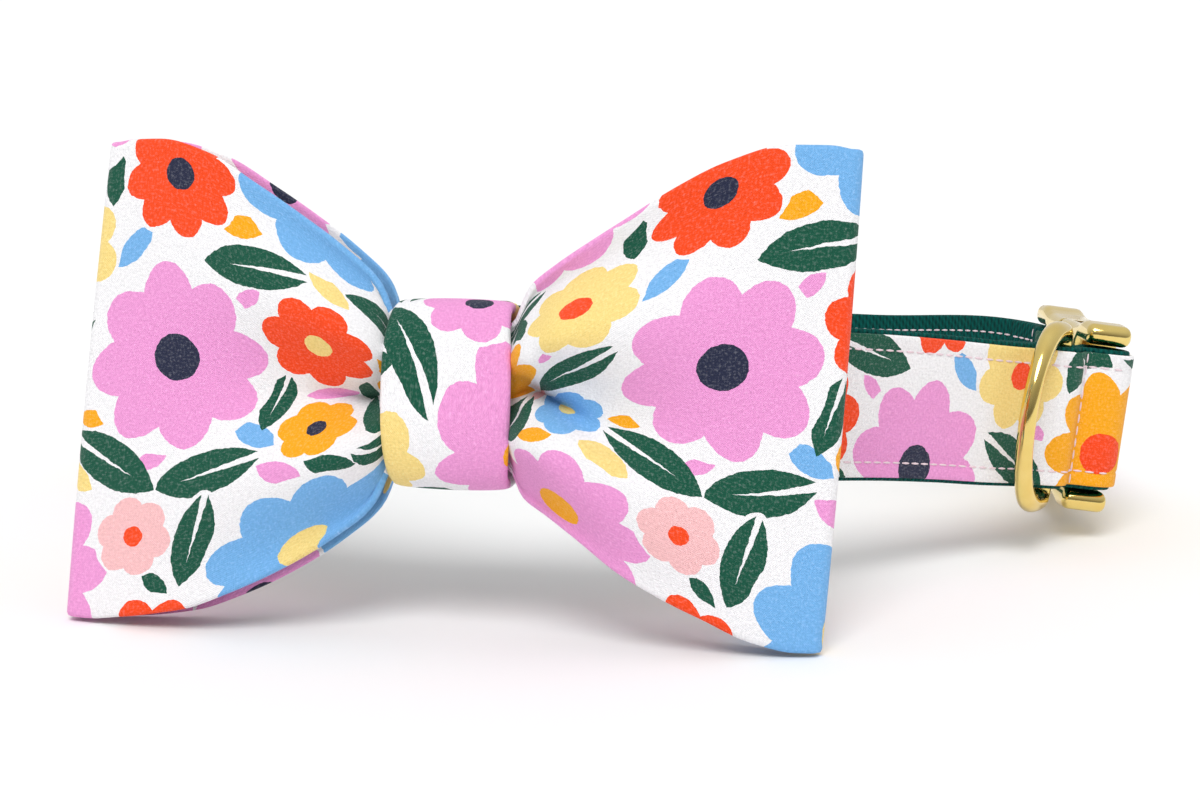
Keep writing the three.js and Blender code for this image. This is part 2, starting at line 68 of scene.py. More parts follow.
# How the strap lies: distance from the socket bar, height of its middle line, outward lean of its top edge.
STRAP_LIE = (
    (-20, 19.4, 1.3), (0, 22.2, 1.3), (20, 25, 1.3), (58, 30.8, -1), (91, 34.3, -5.5), (124.5, 35.76, -7.8),
    (190.5, 32.4, -5.5), (256.5, 24.3, 0), (322.5, 16.2, 5.5), (388.4, 12.75, 7.8), (445, 15, 8.2),
    (483, 18.7, 8), (503.5, 19.3, 8), (523.5, 19.9, 8),
)

# Half the spacing of the two layers of a strap end, at distances from its bar: bar, seams, hem, single layer.
SOCKET_END = ((0, 3.9), (7.4, 0.95), (11, 3.05), (21, 0.95), (27, 0.95), (39, 0))
PLUG_END = ((0, 3.9), (7, 0.95), (15, 0.95), (27, 0))
SOCKET_HEM = 27
PLUG_HEM = 15
END_STEP = 1.0
LOOP_STEP = 3.0
FOLD_STEPS = 12


def from_table(rows, column, place):
    """A column's value at a place along a table's first column, on a curve that never overshoots the rows."""
    at = min(max(place, rows[0][0]), rows[-1][0])
    after = max(1, next(i for i, row in enumerate(rows) if row[0] >= at))

    def slope(i):
        if i < 1 or i >= len(rows):
            return 0.0
        return (rows[i][column] - rows[i - 1][column]) / (rows[i][0] - rows[i - 1][0])

    def tangent(i):
        left, right = slope(i), slope(i + 1)
        return 2 * left * right / (left + right) if left * right > 0 else 0.0

    before, gap = rows[after - 1], rows[after][0] - rows[after - 1][0]
    share = (at - before[0]) / gap
    ease = share * share * (3 - 2 * share)
    leave = share * (1 - share) ** 2 * gap * tangent(after - 1)
    arrive = share * share * (share - 1) * gap * tangent(after)
    return before[column] + (rows[after][column] - before[column]) * ease + leave + arrive


def even_steps(start, end, step):
    count = math.ceil(abs(end - start) / step)
    return [start + (end - start) * i / count for i in range(count + 1)]


def on_plan(distance):
    """Point and heading of the strap's middle line in plan."""
    point, heading, left = Vector((0, 0, 0)), math.pi + FRONT_TURN, distance
    for straight, turn, radius in STRAP_RUNS:
        length = straight + math.radians(turn) * radius
        part = left if left <= length or radius == STRAP_RUNS[-1][2] else length
        if radius:
            centre = point + Vector((math.sin(heading), -math.cos(heading), 0)) * radius
            heading -= part / radius
            point = centre - Vector((math.sin(heading), -math.cos(heading), 0)) * radius
        else:
            point = point + Vector((math.cos(heading), math.sin(heading), 0)) * part
        left -= part
        if left <= 0:
            break
    return point, heading


BEHIND_KNOT = on_plan(FRONT_END)[0]
STRAP_LENGTH = sum(straight + math.radians(turn) * radius for straight, turn, radius in STRAP_RUNS)


def strap_at(distance):
    """Middle point of the strap, with its directions along, across its width and outward."""
    point, heading = on_plan(distance)
    height, ahead, behind = (from_table(STRAP_LIE, 1, distance + step) for step in (0, 1, -1))
    lean = math.radians(from_table(STRAP_LIE, 2, distance))
    along = Vector((math.cos(heading), math.sin(heading), (ahead - behind) / 2)).normalized()
    sideways = Vector((-math.sin(heading), math.cos(heading), 0))
    wide = along.cross(sideways) * math.cos(lean) + sideways * math.sin(lean)
    middle = point - BEHIND_KNOT + KNOT_SPOT + Vector((0, 0, height))
    return middle, along, wide, wide.cross(along)


def strap_layer(distance, offset):
    middle, _, wide, outward = strap_at(distance)
    return middle + outward * offset, wide


def strap_fold(distance, away, radius):
    middle, along, wide, outward = strap_at(distance)
    angles = even_steps(0, math.pi, math.pi / FOLD_STEPS)[1:-1]
    aside, ahead = outward * radius, along * away * radius
    return [(middle + aside * math.cos(a) + ahead * math.sin(a), wide) for a in angles]


def strap_stops():
    """Stops along the whole piece of webbing: middle point, width direction, face direction, distance run."""
    inner_socket, inner_plug = SOCKET_END[-1][0], STRAP_LENGTH - PLUG_END[-1][0]
    main = even_steps(0, inner_socket, END_STEP) + even_steps(inner_socket, inner_plug, LOOP_STEP)[1:]
    main += even_steps(inner_plug, STRAP_LENGTH, END_STEP)[1:]
    stops = [strap_layer(at, -from_table(SOCKET_END, 1, at)) for at in even_steps(SOCKET_HEM, 0, END_STEP)]
    stops += reversed(strap_fold(0, -1, SOCKET_END[0][1]))
    for at in main:
        spread = from_table(SOCKET_END, 1, at) + from_table(PLUG_END, 1, STRAP_LENGTH - at)
        stops.append(strap_layer(at, spread))
    stops += strap_fold(STRAP_LENGTH, 1, PLUG_END[0][1])
    for at in even_steps(0, PLUG_HEM, END_STEP):
        stops.append(strap_layer(STRAP_LENGTH - at, -from_table(PLUG_END, 1, at)))
    placed, run = [], 0.0
    for i, (middle, wide) in enumerate(stops):
        before, after = stops[max(i - 1, 0)][0], stops[min(i + 1, len(stops) - 1)][0]
        run += (middle - stops[i - 1][0]).length if i else 0.0
        placed.append((middle, wide, wide.cross(after - before).normalized(), run))
    return placed


def swept(stops, sections, closed=False):
    """A band or wire drawn through stops. A section is a ring of points: across the band, off its face."""
    bm = bmesh.new()
    post = bm.verts.layers.int.new("post")
    run_layer, across_layer = bm.verts.layers.float.new("run"), bm.verts.layers.float.new("across")

    def place(verts, stop, section):
        middle, wide, face, run = stop
        for vert in verts:
            across, off = section[vert[post]]
            vert.co = middle + wide * across + face * off
            vert[run_layer], vert[across_layer] = run, across

    first = bmesh.ops.create_circle(bm, segments=len(sections[0]), radius=1)["verts"]
    for i, vert in enumerate(first):
        vert[post] = i
    place(first, stops[0], sections[0])
    start = rim = list(bm.edges)
    for stop, section in zip(stops[1:], sections[1:]):
        made = bmesh.ops.extrude_edge_only(bm, edges=rim)["geom"]
        verts = {part for part in made if isinstance(part, bmesh.types.BMVert)}
        place(verts, stop, section)
        rim = [part for part in made if isinstance(part, bmesh.types.BMEdge) and set(part.verts) <= verts]
    if closed:
        bmesh.ops.bridge_loops(bm, edges=start + rim)
    else:
        bmesh.ops.edgenet_fill(bm, edges=start)
        bmesh.ops.edgenet_fill(bm, edges=rim)
    bmesh.ops.recalc_face_normals(bm, faces=bm.faces)
    cloth = bm.loops.layers.uv.new("cloth")
    for face in bm.faces:
        for loop in face.loops:
            loop[cloth].uv = (loop.vert[run_layer] * MM, loop.vert[across_layer] * MM)
    return bm


def band_section(width, near, far, edge, near_groove, far_groove):
    """Ring of a flat band with round edges, and a shallow groove along each row of stitches."""
    half, corner = width / 2, [math.radians(a) for a in (0, 30, 60, 90)]
    rows = [half * 0.93, STITCH_ROW + 0.5, STITCH_ROW, STITCH_ROW - 0.5, half * 0.37]
    rows += [-row for row in reversed(rows)]

    def face(level, groove, side):
        return [(row, level - side * (groove if abs(row) == STITCH_ROW else 0)) for row in rows]

    def turn(side):
        top = [(side * (half - edge + edge * math.sin(a)), far - edge + edge * math.cos(a)) for a in corner]
        foot = [(side * (half - edge + edge * math.cos(a)), near + edge - edge * math.sin(a)) for a in corner]
        return top + (foot if edge < (far - near) / 2 else foot[1:])

    return face(far, far_groove, 1) + turn(-1) + face(near, near_groove, -1)[::-1] + turn(1)[::-1]


def add_node(tree, kind, *feeds, **settings):
    """A new node with its first inputs fed by numbers, colours or other nodes' outputs."""
    node = tree.nodes.new(kind)
    for name, value in settings.items():
        setattr(node, name, value)
    for socket, feed in zip(node.inputs, feeds):
        if isinstance(feed, bpy.types.NodeSocket):
            tree.links.new(feed, socket)
        elif feed is not None:
            socket.default_value = feed
    return node


def calc(tree, operation, *feeds):
    return add_node(tree, "ShaderNodeMath", *feeds, operation=operation).outputs[0]


def blended(tree, share, under, over):
    node = tree.nodes.new("ShaderNodeMix")
    node.data_type = "RGBA"
    for socket, feed in zip((node.inputs[0], node.inputs[6], node.inputs[7]), (share, under, over)):
        if isinstance(feed, bpy.types.NodeSocket):
            tree.links.new(feed, socket)
        else:
            socket.default_value = feed
    return node.outputs[2]


def dye(colour):
    """A colour on a scale of 0 to 255 as the shader's own linear colour."""
    shares = [value / 255 for value in colour]
    return tuple(((s + 0.055) / 1.055) ** 2.4 if s > 0.04 else s / 12.92 for s in shares) + (1.0,)


def new_finish(name, **sockets):
    """A material with its plain values set on the shader, its node tree and its shader node."""
    finish = bpy.data.materials.new(name)
    finish.use_nodes = True
    shader = finish.node_tree.nodes["Principled BSDF"]
    for socket, value in sockets.items():
        shader.inputs[socket.replace("_", " ")].default_value = value
    return finish, finish.node_tree, shader


def raised(tree, shader, height, depth, strength=1.0):
    """Relief on a finish: height from 0 to 1 over a depth in millimetres."""
    bump = tree.nodes.new("ShaderNodeBump")
    bump.inputs["Strength"].default_value = strength
    bump.inputs["Distance"].default_value = depth * MM
    tree.links.new(height, bump.inputs["Height"])
    tree.links.new(bump.outputs["Normal"], shader.inputs["Normal"])


def cloth_spot(tree):
    """Place on the flat cloth, in millimetres along and across it."""
    chart = add_node(tree, "ShaderNodeUVMap", uv_map="cloth").outputs[0]
    spot = add_node(tree, "ShaderNodeVectorMath", chart, operation="SCALE")
    spot.inputs["Scale"].default_value = 1 / MM
    return spot.outputs[0]


def webbing_finish(name, light, shade):
    finish, tree, shader = new_finish(name, Roughness=0.7, Specular_IOR_Level=0.1)
    axes = add_node(tree, "ShaderNodeSeparateXYZ", cloth_spot(tree)).outputs
    rib = calc(tree, "ABSOLUTE", calc(tree, "SINE", calc(tree, "MULTIPLY", axes[0], math.pi / RIB_PITCH)))
    cords = calc(tree, "MULTIPLY", axes[1], 2 * math.pi / CORD_PITCH)
    shifted = calc(tree, "ADD", cords, calc(tree, "MULTIPLY", axes[0], math.pi / RIB_PITCH))
    cord = calc(tree, "MULTIPLY_ADD", calc(tree, "SINE", shifted), 0.5, 0.5)
    height = calc(tree, "MULTIPLY_ADD", cord, CORD_SHARE, calc(tree, "MULTIPLY", rib, RIB_SHARE))
    patch = add_node(tree, "ShaderNodeTexNoise", cloth_spot(tree), None, 0.35, 3.0).outputs[0]
    # Colour follows the weave's height: painted shade in its hollows and painted light on its ribs, with
    # random patches of tone over it.
    tone = calc(tree, "MULTIPLY_ADD", patch, 0.3, calc(tree, "MULTIPLY_ADD", height, 0.75, -0.1))
    tree.links.new(blended(tree, tone, dye(shade), dye(light)), shader.inputs["Base Color"])
    raised(tree, shader, height, WEAVE_DEPTH)
    return finish


def finished(name, bm, finish, slot, body, *nodes):
    """The piece's object, in metres, riding on its body in place of its plain solids."""
    bmesh.ops.scale(bm, vec=(MM, MM, MM), verts=bm.verts)
    mesh = bpy.data.meshes.new(name)
    bm.to_mesh(mesh)
    bm.free()
    mesh.shade_smooth()
    mesh.materials.append(finish)
    piece = bpy.data.objects.new(name, mesh)
    bpy.context.scene.collection.objects.link(piece)
    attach(piece, body)
    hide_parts(*nodes)
    return piece


stops = strap_stops()
webbing_ring = band_section(
    WEBBING_WIDTH, -WEBBING_WALL / 2, WEBBING_WALL / 2, WEBBING_EDGE, STITCH_GROOVE, STITCH_GROOVE
)
webbing_band = swept(stops, [webbing_ring] * len(stops))
nylon = webbing_finish("green_nylon", WEBBING_LIT_GREEN, WEBBING_PAINTED_SHADE)
webbing = finished("webbing", webbing_band, nylon, "green_webbing", "collar", "strap_webbing")

# Printed strip of the strap
# A strip of printed cotton, folded double with its raw edges inside, and laid on the webbing's outer face.
# It goes round the socket's bar with the webbing, and ends at the plug's fold. The print is a bright flower
# repeat on white.
STRIP_WIDTH = 24.0
STRIP_NEAR = 0.8
STRIP_FAR = 1.62
STRIP_EDGE = 0.36
THREAD_PITCH = 0.36
CROSS_SHARE, SLUB_SHARE = 0.35, 0.65
COTTON_DEPTH = 0.26
PRINT_WOBBLE = 0.5
REPEAT = (92.0, 78.0)
WHITE, NAVY, GREEN = (249, 248, 250), (32, 38, 66), (0, 84, 62)
PINK, GOLD, BLUE, RED = (243, 158, 218), (255, 174, 0), (118, 182, 238), (255, 74, 14)
CREAM, BLUSH = (253, 224, 138), (252, 196, 198)
STRIP_PRINT_SHIFT = (20, 26, 0)

# Shares of a motif's own size: its ground, a petal's middle, half length and room, the heart, half of a leaf.
GROUND = 1.06
PETAL_MIDDLE, PETAL_HALF, PETAL_ROOM = 0.58, 0.42, 0.74
HEART = 0.25
LEAF_HALF, BUD_HALF = 0.38, 0.44
LEAF_RIB, NO_RIB = 0.05, 0.0
LEAF_ROUNDNESS = 2.4

# The repeat, in millimetres: place along and across, size, turn, number of petals, petal and heart colours.
DAISIES = (
    (16, 16, 15.2, 12, 8, PINK, NAVY), (63, 20, 14.8, 40, 9, GOLD, RED), (38, 55, 15.4, 75, 8, BLUE, CREAM),
    (84, 59, 15, 5, 9, PINK, GOLD), (40, 24, 9.6, 20, 7, RED, CREAM), (61.5, 50.5, 9.6, 60, 7, PINK, NAVY),
    (14, 45, 10, 15, 8, RED, NAVY), (86, 33, 9.8, 33, 7, CREAM, RED), (40, 3, 6.4, 50, 6, GOLD, NAVY),
    (84, 6, 6.4, 25, 6, BLUE, CREAM), (62, 72, 6.6, 27, 6, RED, CREAM), (11, 65, 6.4, 46, 6, BLUSH, RED),
)

# Leaves and buds of the repeat: place along and across, half length, turn, colour.
LEAVES = (
    (23, 75, 9.4, 15, GREEN), (53, 38, 9.4, 0, GREEN), (73, 1, 9.4, 75, GREEN), (29, 35, 9.4, 15, GREEN),
    (6, 77, 9.4, 150, GREEN), (51, 3, 9.4, 105, GREEN), (71, 40, 9.4, 30, GREEN), (85, 18, 9.2, 30, GREEN),
    (52, 68, 8.2, 135, GREEN), (21, 64, 8.2, 75, GREEN), (32.6, 10, 6.4, 75, GREEN),
)
BUDS = (
    (41, 37, 4.4, 150, CREAM), (7, 33, 4.4, 45, BLUE), (41, 12, 4.4, 15, PINK), (67, 63, 4.6, 90, BLUE),
    (35, 73, 4.4, 150, PINK), (91, 75, 4.6, 150, CREAM), (60, 3, 4.4, 165, PINK), (30, 3, 4.4, 150, BLUE),
    (67, 3, 4.2, 45, GREEN), (74, 34, 4.2, 90, GREEN), (79, 76, 4.4, 15, GOLD), (26, 41, 4.2, 30, GOLD),
    (2, 44, 4.4, 90, GREEN), (43, 72, 4.4, 150, GREEN), (47, 13, 4, 90, GREEN), (77, 11, 3.4, 75, BLUSH),
    (2, 6, 3.2, 0, GOLD), (80.5, 23.5, 2.8, 30, PINK), (15, 57, 3, 135, GREEN), (52.5, 45, 3, 120, CREAM),
    (54.5, 60, 3, 30, GOLD), (28, 29, 3, 45, PINK), (13, 77, 3, 20, PINK),
)


def vector_calc(tree, operation, *feeds):
    node = add_node(tree, "ShaderNodeVectorMath", *feeds, operation=operation)
    return node.outputs["Value" if operation == "LENGTH" else "Vector"]


def motif_seat():
    """A node group that hands on a motif's own frame and colours where the motif covers the cloth."""
    tree = bpy.data.node_groups.new("motif_seat", "ShaderNodeTree")
    kinds = {"Float": "NodeSocketFloat", "Vector": "NodeSocketVector", "Colour": "NodeSocketColor"}
    inputs = ("Spot Vector", "Place Vector", "Turn Vector", "Fineness Float", "Narrow Vector", "Count Vector",
              "Petal Colour", "Heart Colour", "Before Vector", "BeforePetal Colour", "BeforeHeart Colour")
    for entry in inputs:
        name, kind = entry.split()
        tree.interface.new_socket(name=name, in_out="INPUT", socket_type=kinds[kind])
    for name, kind in (("Frame", "Vector"), ("Petal", "Colour"), ("Heart", "Colour")):
        tree.interface.new_socket(name=name, in_out="OUTPUT", socket_type=kinds[kind])
    given = tree.nodes.new("NodeGroupInput").outputs
    half = (REPEAT[0] / 2, REPEAT[1] / 2, 1)
    away = vector_calc(tree, "SUBTRACT", given["Spot"], given["Place"])
    near = vector_calc(tree, "WRAP", away, half, tuple(-side for side in half))
    turned = add_node(tree, "ShaderNodeVectorRotate", near, rotation_type="EULER_XYZ")
    tree.links.new(given["Turn"], turned.inputs["Rotation"])
    own = add_node(tree, "ShaderNodeVectorMath", turned.outputs[0], operation="SCALE")
    tree.links.new(given["Fineness"], own.inputs["Scale"])
    patch = vector_calc(tree, "MULTIPLY", own.outputs[0], given["Narrow"])
    covered = calc(tree, "LESS_THAN", vector_calc(tree, "LENGTH", patch), 1.0)
    counted = vector_calc(tree, "ADD", own.outputs[0], given["Count"])
    chosen = tree.nodes.new("ShaderNodeMix")
    chosen.data_type = "VECTOR"
    for socket, feed in zip((0, 4, 5), (covered, given["Before"], counted)):
        tree.links.new(feed, chosen.inputs[socket])
    out = tree.nodes.new("NodeGroupOutput").inputs
    tree.links.new(chosen.outputs[1], out["Frame"])
    tree.links.new(blended(tree, covered, given["BeforePetal"], given["Petal"]), out["Petal"])
    tree.links.new(blended(tree, covered, given["BeforeHeart"], given["Heart"]), out["Heart"])
    return tree


def seated(tree, seat, spot, rows, half_width, half_height):
    """Frame and colours of the motif that covers a spot. The frame is far off where there is none."""
    frame_here, petal, heart = (9.0, 9.0, 5.0), dye(WHITE), dye(WHITE)
    for along, across, size, turn, count, petal_colour, heart_colour in rows:
        node = add_node(tree, "ShaderNodeGroup", node_tree=seat)
        feeds = (spot, (along, across, 0), (0, 0, -math.radians(turn)), 1 / size,
                 (1 / half_width, 1 / half_height, 0), (0, 0, count),
                 dye(petal_colour), dye(heart_colour), frame_here, petal, heart)
        for socket, feed in zip(node.inputs, feeds):
            if isinstance(feed, bpy.types.NodeSocket):
                tree.links.new(feed, socket)
            else:
                socket.default_value = feed
        frame_here, petal, heart = node.outputs
    return frame_here, petal, heart


def daisy_layer(tree, seat, spot, under):
    """Daisies: separate round petals about a heart, each on a patch of white ground."""
    place, petal, heart = seated(tree, seat, spot, DAISIES, GROUND, GROUND)
    x, y, count = add_node(tree, "ShaderNodeSeparateXYZ", place).outputs
    flat = add_node(tree, "ShaderNodeCombineXYZ", x, y).outputs[0]
    radius = vector_calc(tree, "LENGTH", flat)
    pitch = calc(tree, "DIVIDE", math.pi, count)
    angle = calc(tree, "WRAP", calc(tree, "ARCTAN2", y, x), pitch, calc(tree, "MULTIPLY", pitch, -1.0))
    ahead = calc(tree, "MULTIPLY", radius, calc(tree, "COSINE", angle))
    aside = calc(tree, "MULTIPLY", radius, calc(tree, "SINE", angle))
    room = calc(tree, "MULTIPLY", calc(tree, "TANGENT", pitch), PETAL_ROOM)
    ahead = calc(tree, "MULTIPLY_ADD", ahead, 1 / PETAL_HALF, -PETAL_MIDDLE / PETAL_HALF)
    aside = calc(tree, "DIVIDE", aside, room)
    square = calc(tree, "MULTIPLY_ADD", ahead, ahead, calc(tree, "MULTIPLY", aside, aside))
    ground = blended(tree, calc(tree, "LESS_THAN", radius, GROUND), under, dye(WHITE))
    petals = blended(tree, calc(tree, "LESS_THAN", square, 1.0), ground, petal)
    return blended(tree, calc(tree, "LESS_THAN", radius, HEART), petals, heart)


def leaf_layer(tree, seat, spot, under, leaves, fatness, rib):
    """Leaves or buds: pointed ovals. A rib above nought leaves a line of white ground down the middle."""
    rows = [row[:4] + (0, row[4], row[4]) for row in leaves]
    place, leaf, _ = seated(tree, seat, spot, rows, 1.02, fatness * 1.1)
    ahead, aside, _ = add_node(tree, "ShaderNodeSeparateXYZ", place).outputs
    aside = calc(tree, "ABSOLUTE", aside)
    ends = calc(tree, "POWER", calc(tree, "ABSOLUTE", ahead), LEAF_ROUNDNESS)
    round_off = calc(tree, "SUBTRACT", 1.0, ends)
    blade = calc(tree, "LESS_THAN", aside, calc(tree, "MULTIPLY", round_off, fatness))
    cleft = calc(tree, "GREATER_THAN", aside, calc(tree, "MULTIPLY", calc(tree, "ADD", ahead, 0.5), rib))
    return blended(tree, calc(tree, "MULTIPLY", blade, cleft), under, leaf)


def cotton_finish(name, shift):
    """Printed cotton: the repeat moved along and across the cloth, over a fine plain weave."""
    finish, tree, shader = new_finish(name, Roughness=0.82, Sheen_Weight=0.12, Sheen_Roughness=0.5)
    shader.inputs["Specular IOR Level"].default_value = 0.3
    flat = cloth_spot(tree)
    drift = add_node(tree, "ShaderNodeTexNoise", flat, None, 0.9, 2.0)
    wobble = vector_calc(tree, "SUBTRACT", drift.outputs[1], (0.5, 0.5, 0.5))
    soft = add_node(tree, "ShaderNodeVectorMath", wobble, operation="SCALE")
    soft.inputs["Scale"].default_value = PRINT_WOBBLE
    moved = vector_calc(tree, "ADD", vector_calc(tree, "ADD", flat, shift), soft.outputs[0])
    spot = vector_calc(tree, "MULTIPLY", moved, (1, 1, 0))
    seat = bpy.data.node_groups.get("motif_seat") or motif_seat()
    colour = leaf_layer(tree, seat, spot, dye(WHITE), BUDS, BUD_HALF, NO_RIB)
    colour = leaf_layer(tree, seat, spot, colour, LEAVES, LEAF_HALF, LEAF_RIB)
    colour = daisy_layer(tree, seat, spot, colour)
    axes = add_node(tree, "ShaderNodeSeparateXYZ", flat).outputs
    turn = 2 * math.pi / THREAD_PITCH
    warp, weft = (calc(tree, "SINE", calc(tree, "MULTIPLY", axis, turn)) for axis in axes[:2])
    cross = calc(tree, "MULTIPLY_ADD", calc(tree, "MULTIPLY", warp, weft), 0.5, 0.5)
    streaks = []
    for stretch in ((1.5, 3.2, 1), (3.2, 1.5, 1)):
        drawn = vector_calc(tree, "MULTIPLY", flat, stretch)
        streaks.append(add_node(tree, "ShaderNodeTexNoise", drawn, None, 1.0, 2.0).outputs[0])
    slub = calc(tree, "ADD", *streaks)
    height = calc(tree, "MULTIPLY_ADD", cross, CROSS_SHARE, calc(tree, "MULTIPLY", slub, SLUB_SHARE))
    fleck = calc(tree, "MAXIMUM", calc(tree, "MULTIPLY", calc(tree, "SUBTRACT", slub, 1.0), 0.3), 0.0)
    worn = blended(tree, fleck, colour, dye(WHITE))
    lightness = calc(tree, "MULTIPLY_ADD", slub, 0.3, 0.7)
    tone = add_node(tree, "ShaderNodeHueSaturation", None, None, lightness, None, worn)
    tree.links.new(tone.outputs[0], shader.inputs["Base Color"])
    raised(tree, shader, height, COTTON_DEPTH, 0.7)
    return finish


strip_ring = band_section(STRIP_WIDTH, STRIP_NEAR, STRIP_FAR, STRIP_EDGE, 0, STITCH_GROOVE)
covered = stops[:-len(even_steps(0, PLUG_HEM, END_STEP))]
strip_band = swept(covered, [strip_ring] * len(covered))
strip_cotton = cotton_finish("strip_cotton", STRIP_PRINT_SHIFT)
strip = finished("printed_strip", strip_band, strip_cotton, "printed_cotton", "collar", "strap_fabric")

# Stitching of the strap
# Two long rows of pale thread hold the strip on the webbing, and short rows across it close the loops at
# both bars and the leash ring's pocket. A machine's lockstitch shows on both faces, so the short rows come
# out on the folded ends, and the long rows on the plug's folded end.
STITCH_PITCH = 2.3
STITCH_LONG = 0.98
STITCH_THICK = 0.21
STITCH_SUNK = 0.08
THREAD_COLOUR, THREAD_SHADE = (246, 226, 232), (226, 200, 210)
SOCKET_SEAMS = (7.4, 21.0)
PLUG_SEAM = 7.0
PLUG_ROW_END = 13.5
SEAM_HALF = 10.9


def thread_finish():
    finish, tree, shader = new_finish("pale_thread", Roughness=0.55, Sheen_Weight=0.2)
    place = add_node(tree, "ShaderNodeTexCoord").outputs["Object"]
    tone = add_node(tree, "ShaderNodeTexNoise", place, None, 900.0, 2.0).outputs[0]
    tree.links.new(blended(tree, tone, dye(THREAD_SHADE), dye(THREAD_COLOUR)), shader.inputs["Base Color"])
    twist = add_node(tree, "ShaderNodeTexNoise", place, None, 4000.0, 1.0).outputs[0]
    raised(tree, shader, twist, 0.05)
    return finish


def stop_at(run):
    """The strap's stop at a distance run along the piece of webbing."""
    after = next(i for i, stop in enumerate(stops) if stop[3] >= run and i)
    before = stops[after - 1]
    share = (run - before[3]) / (stops[after][3] - before[3])
    middle, wide, face = (before[k].lerp(stops[after][k], share) for k in range(3))
    return middle, wide.normalized(), face.normalized(), (stops[after][0] - before[0]).normalized()


def stitch_shape():
    """One stitch lying along X, a small bead of thread that dips at its ends."""
    bm = bmesh.new()
    bmesh.ops.create_uvsphere(bm, u_segments=6, v_segments=5, radius=1)
    bmesh.ops.scale(bm, vec=(STITCH_LONG, STITCH_THICK, STITCH_THICK), verts=bm.verts)
    mesh = bpy.data.meshes.new("stitch")
    bm.to_mesh(mesh)
    bm.free()
    return mesh


def add_stitch(bm, shape, run, across, off, turned):
    middle, wide, face, along = stop_at(run)
    long_way = wide if turned else along
    basis = Matrix((long_way, face.cross(long_way), face)).transposed().to_4x4()
    stitch = shape.copy()
    stitch.transform(Matrix.Translation(middle + wide * across + face * off) @ basis)
    bm.from_mesh(stitch)
    bpy.data.meshes.remove(stitch)


SOCKET_BAR_RUN = stops[len(even_steps(SOCKET_HEM, 0, END_STEP)) + FOLD_STEPS - 1][3]
PLUG_BAR_RUN = stops[-len(even_steps(0, PLUG_HEM, END_STEP)) - FOLD_STEPS][3]
SOCKET_FOLDED_RUN = stops[len(even_steps(SOCKET_HEM, 0, END_STEP)) - 1][3]
PLUG_FOLDED_RUN = stops[-len(even_steps(0, PLUG_HEM, END_STEP))][3]
STRIP_FACE = STRIP_FAR - STITCH_SUNK
LOOP_FACE = -WEBBING_WALL / 2 + STITCH_SUNK
FOLDED_FACE = WEBBING_WALL / 2 - STITCH_SUNK
thread, one_stitch = bmesh.new(), stitch_shape()
for row in (STITCH_ROW, -STITCH_ROW):
    for run in even_steps(SOCKET_BAR_RUN + 1, PLUG_BAR_RUN - 1, STITCH_PITCH):
        add_stitch(thread, one_stitch, run, row, STRIP_FACE, False)
        add_stitch(thread, one_stitch, run, row, LOOP_FACE, False)
    for from_bar in even_steps(PLUG_SEAM, PLUG_ROW_END, STITCH_PITCH):
        add_stitch(thread, one_stitch, PLUG_FOLDED_RUN + from_bar, row, FOLDED_FACE, False)
seams = [(PLUG_BAR_RUN - PLUG_SEAM, STRIP_FACE), (PLUG_FOLDED_RUN + PLUG_SEAM, FOLDED_FACE)]
for from_bar in SOCKET_SEAMS:
    seams += [(SOCKET_BAR_RUN + from_bar, STRIP_FACE), (SOCKET_FOLDED_RUN - from_bar, STRIP_FACE)]
for run, off in seams:
    for row in even_steps(-SEAM_HALF, SEAM_HALF, STITCH_PITCH):
        add_stitch(thread, one_stitch, run, row, off, True)
bpy.data.meshes.remove(one_stitch)
stitching = finished("stitching", thread, thread_finish(), "printed_cotton", "collar")

# Buckle
# Two halves of a side-release buckle, cast in zinc and plated in polished gold. Each half has a round bar
# between two lobes for the strap's fold. The plug's two spring arms click into windows in the socket's sides.
BUCKLE_THICK = 8.0
BUCKLE_ROUND = 1.8
BAR_RADIUS = 2.0
SLOT_HALF = 13.2
SLOT_DEEP = 6.6
MOUTH = 22.5
MOUTH_GAP = 0.5
OUTLINE = ((-1.7, 17.0), (2.4, 17.2), (6.6, 16.5), (10, 16.1), (15, 16.0))
OUTLINE_STEP = 0.8
WINDOW = (11.6, 18.8, 10.5, 17.5)
ROOM_THICK = 4.4
CUT_JOIN = 0.02
LATCH = ((10.6, 8.0), (24.5, 5.2), (24.5, 8.4), (19.4, 10.4), (18.2, 10.9), (17.8, 14.2), (13.4, 14.2),
         (12.2, 11.0), (10.6, 10.0))
LATCH_THICK = 3.4
LATCH_ROOM = (9.4, 23.5, 11.2)
GUIDE = (12.0, 24.1, 1.6)
BUCKLE_ROUND_STEPS = 4
LATCH_ROUND = 0.5
LATCH_ROUND_STEPS = 3
EDGE_EASE = 0.25
BAR_SIDES = 32
BAR_SUNK = 1.0
GOLD_COLOUR, GOLD_SHADE = (243, 220, 142), (226, 194, 104)
HAZE_FINENESS, WAVE_FINENESS = 220.0, 160.0
CASTING_WAVE = 0.12


def gold_finish():
    """Polished gold plate with faint casting waves, and a little haze in random patches."""
    finish, tree, shader = new_finish("polished_gold", Metallic=1.0, Roughness=0.12)
    place = add_node(tree, "ShaderNodeTexCoord").outputs["Object"]
    haze = add_node(tree, "ShaderNodeTexNoise", place, None, HAZE_FINENESS, 3.0).outputs[0]
    tree.links.new(blended(tree, haze, dye(GOLD_SHADE), dye(GOLD_COLOUR)), shader.inputs["Base Color"])
    gloss = calc(tree, "MULTIPLY_ADD", haze, 0.12, 0.06)
    tree.links.new(gloss, shader.inputs["Roughness"])
    waves = add_node(tree, "ShaderNodeTexNoise", place, None, WAVE_FINENESS, 1.0).outputs[0]
    raised(tree, shader, waves, CASTING_WAVE, 0.5)
    return finish


